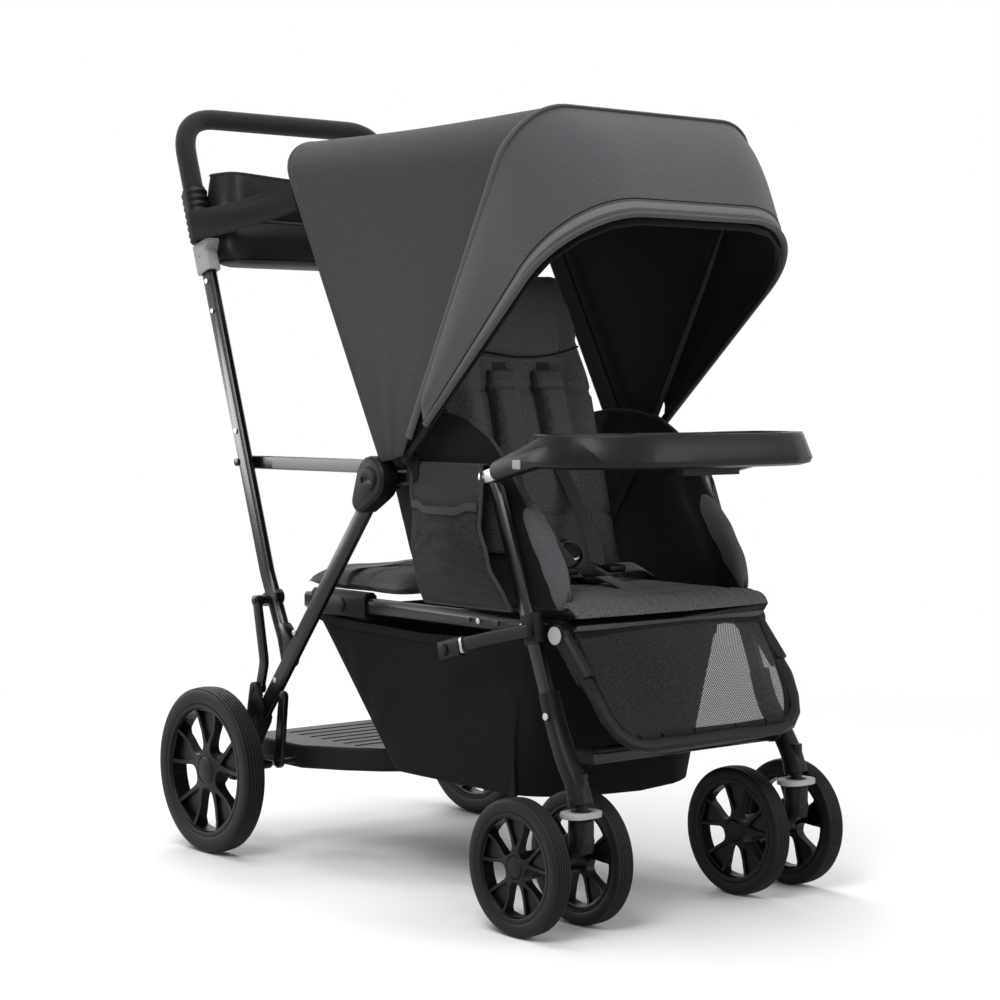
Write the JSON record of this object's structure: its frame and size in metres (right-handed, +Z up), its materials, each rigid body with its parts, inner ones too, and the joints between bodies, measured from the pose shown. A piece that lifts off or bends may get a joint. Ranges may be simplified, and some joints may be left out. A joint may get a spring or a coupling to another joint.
{
  "type": "sit-and-stand stroller",
  "caption": "Folding tandem stroller with a canopied front seat and snack tray, a rear bench over a standing platform, twin swivel casters in front, spoked rear wheels and a parent organizer.",
  "frame": {"origin": "on the floor under the middle of the bounding box, midway between the left and right wheels", "axes": "+Z up; -Y is the way the stroller travels, so the front casters are at low Y and the handlebar at high Y; +X is the rider's left"},
  "size_m": [0.54, 1.0166, 1.1137],
  "materials": {
    "black_frame": "satin",
    "bare_steel": "satin",
    "black_moulding": "satin",
    "grey_moulding": "satin",
    "wheel_tyre": "matte",
    "grip_foam": "matte",
    "canopy_cloth": "matte",
    "visor_cloth": "matte",
    "seat_cloth": "matte",
    "black_cloth": "matte"
  },
  "bodies": {
    "front_frame": {"basket": "black_cloth", "canopy_rear_bow": "black_moulding", "canopy_roof": "canopy_cloth", "caster_housing_left": "black_moulding", "caster_housing_right": "black_moulding", "front_crossbar": "black_frame", "front_leg_left": "black_frame", "front_leg_right": "black_frame", "side_panel_left": "black_cloth", "side_panel_right": "black_cloth", "tray_bracket_left": "bare_steel", "tray_bracket_right": "bare_steel"},
    "rear_frame": {"axle_bracket_left": "black_moulding", "axle_bracket_right": "black_moulding", "hub_housing_left": "black_moulding", "hub_housing_right": "black_moulding", "platform": "black_moulding", "platform_link_left": "black_frame", "platform_link_right": "black_frame", "rear_axle": "bare_steel", "rear_leg_left": "black_frame", "rear_leg_right": "black_frame"},
    "side_links": {"side_link_left": "black_frame", "side_link_right": "black_frame"},
    "handle": {"handle_grip": "grip_foam", "handle_tube_left": "black_frame", "handle_tube_right": "black_frame", "handlebar": "black_frame", "parent_organizer": "black_cloth"},
    "braces": {"brace_left": "black_frame", "brace_right": "black_frame"},
    "seat_frame": {"bench_pad": "seat_cloth", "harness_buckle": "black_moulding", "seat_pad": "seat_cloth", "seat_rail_left": "black_frame", "seat_rail_right": "black_frame"},
    "rail_sleeves": {"rail_sleeve_left": "black_moulding", "rail_sleeve_right": "black_moulding"},
    "seat_back": {"seat_back": "seat_cloth"},
    "footrest": {"footrest": "black_moulding", "footrest_mesh": "black_cloth"},
    "tray": {"tray": "black_moulding"},
    "canopy_middle_bow": {"canopy_middle_bow": "black_moulding"},
    "canopy_front_bow": {"canopy_front_bow": "black_moulding", "canopy_visor": "visor_cloth"},
    "fold_trigger_left": {"fold_trigger_left": "grey_moulding"},
    "fold_trigger_right": {"fold_trigger_right": "grey_moulding"},
    "rear_wheel_left": {"rear_rim_left": "black_moulding", "rear_tyre_left": "wheel_tyre"},
    "rear_wheel_right": {"rear_rim_right": "black_moulding", "rear_tyre_right": "wheel_tyre"},
    "brake_pedal": {"brake_pedal": "black_moulding"},
    "caster_left": {"caster_fork_left": "black_moulding"},
    "caster_right": {"caster_fork_right": "black_moulding"},
    "swivel_lock_left": {"swivel_lock_left": "grey_moulding"},
    "swivel_lock_right": {"swivel_lock_right": "grey_moulding"},
    "front_wheel_left_outer": {"front_wheel_left_outer": "wheel_tyre"},
    "front_wheel_left_inner": {"front_wheel_left_inner": "wheel_tyre"},
    "front_wheel_right_outer": {"front_wheel_right_outer": "wheel_tyre"},
    "front_wheel_right_inner": {"front_wheel_right_inner": "wheel_tyre"}
  },
  "joints": [
    {"name": "frame_fold", "type": "hinge", "parent": "front_frame", "child": "rear_frame", "pos_m": [0, -0.04833, 0.561], "axis": [-1, 0, 0], "range_deg": [0, 50], "deforming": ["basket"]},
    {"name": "link_fold", "type": "hinge", "parent": "rear_frame", "child": "side_links", "pos_m": [0, -0.00533, 0.575], "axis": [-1, 0, 0], "range_deg": [0, 36]},
    {"name": "handle_fold", "type": "hinge", "parent": "side_links", "child": "handle", "pos_m": [0, 0.32567, 0.574], "axis": [-1, 0, 0], "range_deg": [-84, 0]},
    {"name": "brace_fold", "type": "hinge", "parent": "rear_frame", "child": "braces", "pos_m": [0, 0.24967, 0.2456], "axis": [-1, 0, 0], "range_deg": [0, 110]},
    {"name": "rail_fold", "type": "hinge", "parent": "front_frame", "child": "seat_frame", "pos_m": [0, -0.34397, 0.376], "axis": [-1, 0, 0], "range_deg": [0, 10.4]},
    {"name": "sleeve_slide", "type": "slide", "parent": "seat_frame", "child": "rail_sleeves", "axis": [0, -1, 0], "range_m": [0, 0.192]},
    {"name": "recline", "type": "hinge", "parent": "seat_frame", "child": "seat_back", "pos_m": [0, -0.15133, 0.406], "axis": [1, 0, 0], "range_deg": [-30, 0]},
    {"name": "footrest_fold", "type": "hinge", "parent": "seat_frame", "child": "footrest", "pos_m": [0, -0.38197, 0.372], "axis": [-1, 0, 0], "range_deg": [0, 50], "deforming": ["footrest_mesh"]},
    {"name": "tray_tilt", "type": "hinge", "parent": "front_frame", "child": "tray", "pos_m": [0, -0.30033, 0.579], "axis": [-1, 0, 0], "range_deg": [0, 55]},
    {"name": "canopy_fold", "type": "hinge", "parent": "front_frame", "child": "canopy_front_bow", "pos_m": [0, -0.10933, 0.59], "axis": [-1, 0, 0], "range_deg": [0, 61], "deforming": ["canopy_roof", "canopy_visor"]},
    {"name": "canopy_middle_fold", "type": "hinge", "parent": "front_frame", "child": "canopy_middle_bow", "pos_m": [0, -0.10933, 0.59], "axis": [-1, 0, 0], "range_deg": [0, 48.2]},
    {"name": "fold_trigger_slide_left", "type": "slide", "parent": "handle", "child": "fold_trigger_left", "axis": [0, 0.3261, 0.9453], "range_m": [0, 0.02], "stiffness_N_per_m": 60, "springref_m": -0.004},
    {"name": "fold_trigger_slide_right", "type": "slide", "parent": "handle", "child": "fold_trigger_right", "axis": [0, 0.3261, 0.9453], "range_m": [0, 0.02], "stiffness_N_per_m": 60, "springref_m": -0.004},
    {"name": "rear_wheel_spin_left", "type": "hinge", "parent": "rear_frame", "child": "rear_wheel_left", "pos_m": [0, 0.31267, 0.122], "axis": [-1, 0, 0], "continuous": true},
    {"name": "rear_wheel_spin_right", "type": "hinge", "parent": "rear_frame", "child": "rear_wheel_right", "pos_m": [0, 0.31267, 0.122], "axis": [-1, 0, 0], "continuous": true},
    {"name": "brake_press", "type": "hinge", "parent": "rear_frame", "child": "brake_pedal", "pos_m": [0, 0.31267, 0.122], "axis": [-1, 0, 0], "range_deg": [0, 25]},
    {"name": "caster_swivel_left", "type": "hinge", "parent": "front_frame", "child": "caster_left", "pos_m": [0.193, -0.44333, 0], "axis": [0, 0, 1], "continuous": true},
    {"name": "swivel_lock_slide_left", "type": "slide", "parent": "front_frame", "child": "swivel_lock_left", "axis": [0, 0, 1], "range_m": [0, 0.006]},
    {"name": "front_wheel_spin_left_outer", "type": "hinge", "parent": "caster_left", "child": "front_wheel_left_outer", "pos_m": [0, -0.38533, 0.087], "axis": [-1, 0, 0], "continuous": true},
    {"name": "front_wheel_spin_left_inner", "type": "hinge", "parent": "caster_left", "child": "front_wheel_left_inner", "pos_m": [0, -0.38533, 0.087], "axis": [-1, 0, 0], "continuous": true},
    {"name": "caster_swivel_right", "type": "hinge", "parent": "front_frame", "child": "caster_right", "pos_m": [-0.193, -0.44333, 0], "axis": [0, 0, 1], "continuous": true},
    {"name": "swivel_lock_slide_right", "type": "slide", "parent": "front_frame", "child": "swivel_lock_right", "axis": [0, 0, 1], "range_m": [0, 0.006]},
    {"name": "front_wheel_spin_right_outer", "type": "hinge", "parent": "caster_right", "child": "front_wheel_right_outer", "pos_m": [0, -0.38533, 0.087], "axis": [-1, 0, 0], "continuous": true},
    {"name": "front_wheel_spin_right_inner", "type": "hinge", "parent": "caster_right", "child": "front_wheel_right_inner", "pos_m": [0, -0.38533, 0.087], "axis": [-1, 0, 0], "continuous": true}
  ],
  "couplings": [
    {"joint": "link_fold", "follows": "frame_fold", "ratio": 0.7},
    {"joint": "handle_fold", "follows": "frame_fold", "ratio": -1.65},
    {"joint": "brace_fold", "follows": "frame_fold", "ratio": 2.182},
    {"joint": "rail_fold", "follows": "frame_fold", "ratio": 0.204},
    {"joint": "sleeve_slide", "follows": "frame_fold", "m_per_rad": 0.2177},
    {"joint": "canopy_middle_fold", "follows": "canopy_fold", "ratio": 0.787}
  ]
}
